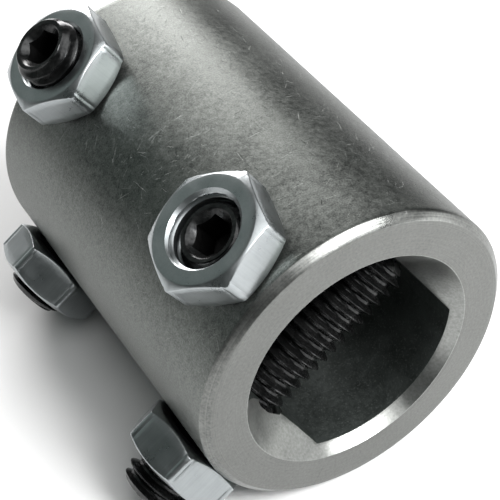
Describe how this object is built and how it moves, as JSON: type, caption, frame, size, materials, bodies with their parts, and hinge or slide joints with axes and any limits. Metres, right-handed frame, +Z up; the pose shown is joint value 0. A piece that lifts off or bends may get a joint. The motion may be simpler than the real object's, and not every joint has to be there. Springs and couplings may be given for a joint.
{
  "type": "rigid shaft coupler",
  "caption": "Rigid steel sleeve coupler with a double-D bore that joins two shafts end to end, clamped by hex-socket set screws locked with thin hex jam nuts.",
  "frame": {"origin": "on the bore axis, in the plane of the front end face", "axes": "+Z up with the coupler lying on its side, the bore axis along Y with the front end facing -Y; the upper row of screws leans 35.3 degrees from +Z towards -X and the lower row is square to it"},
  "size_m": [0.0434, 0.0508, 0.0422],
  "materials": {
    "bare_steel": "fine machined bare steel, slightly dull",
    "black_oxide_steel": "black oxide, lightly oiled",
    "zinc_plated_steel": "bright zinc plate, satin"
  },
  "bodies": {
    "coupler_body": {"coupler_body": "bare_steel"},
    "front_upper_set_screw": {"front_upper_set_screw": "black_oxide_steel"},
    "front_upper_jam_nut": {"front_upper_jam_nut": "zinc_plated_steel"},
    "rear_upper_set_screw": {"rear_upper_set_screw": "black_oxide_steel"},
    "rear_upper_jam_nut": {"rear_upper_jam_nut": "zinc_plated_steel"},
    "front_lower_set_screw": {"front_lower_set_screw": "black_oxide_steel"},
    "front_lower_jam_nut": {"front_lower_jam_nut": "zinc_plated_steel"},
    "rear_lower_set_screw": {"rear_lower_set_screw": "black_oxide_steel"},
    "rear_lower_jam_nut": {"rear_lower_jam_nut": "zinc_plated_steel"}
  },
  "joints": [
    {"name": "front_upper_set_screw_travel", "type": "slide", "parent": "coupler_body", "child": "front_upper_set_screw", "axis": [-0.5779, 0, 0.8161], "range_m": [-0.00564, 0.00423]},
    {"name": "front_upper_jam_nut_turn", "type": "hinge", "parent": "coupler_body", "child": "front_upper_jam_nut", "pos_m": [-0.01101, 0.00794, 0.01555], "axis": [-0.5779, 0, 0.8161], "range_deg": [0, 90]},
    {"name": "rear_upper_set_screw_travel", "type": "slide", "parent": "coupler_body", "child": "rear_upper_set_screw", "axis": [-0.5779, 0, 0.8161], "range_m": [-0.00564, 0.00423]},
    {"name": "rear_upper_jam_nut_turn", "type": "hinge", "parent": "coupler_body", "child": "rear_upper_jam_nut", "pos_m": [-0.01101, 0.04286, 0.01555], "axis": [-0.5779, 0, 0.8161], "range_deg": [0, 90]},
    {"name": "front_lower_set_screw_travel", "type": "slide", "parent": "coupler_body", "child": "front_lower_set_screw", "axis": [-0.8161, 0, -0.5779], "range_m": [0, 0.02117]},
    {"name": "front_lower_jam_nut_turn", "type": "hinge", "parent": "coupler_body", "child": "front_lower_jam_nut", "pos_m": [-0.01555, 0.00794, -0.01101], "axis": [-0.8161, 0, -0.5779], "range_deg": [0, 90]},
    {"name": "rear_lower_set_screw_travel", "type": "slide", "parent": "coupler_body", "child": "rear_lower_set_screw", "axis": [-0.8161, 0, -0.5779], "range_m": [-0.00564, 0.00423]},
    {"name": "rear_lower_jam_nut_turn", "type": "hinge", "parent": "coupler_body", "child": "rear_lower_jam_nut", "pos_m": [-0.01555, 0.04286, -0.01101], "axis": [-0.8161, 0, -0.5779], "range_deg": [0, 90]}
  ]
}
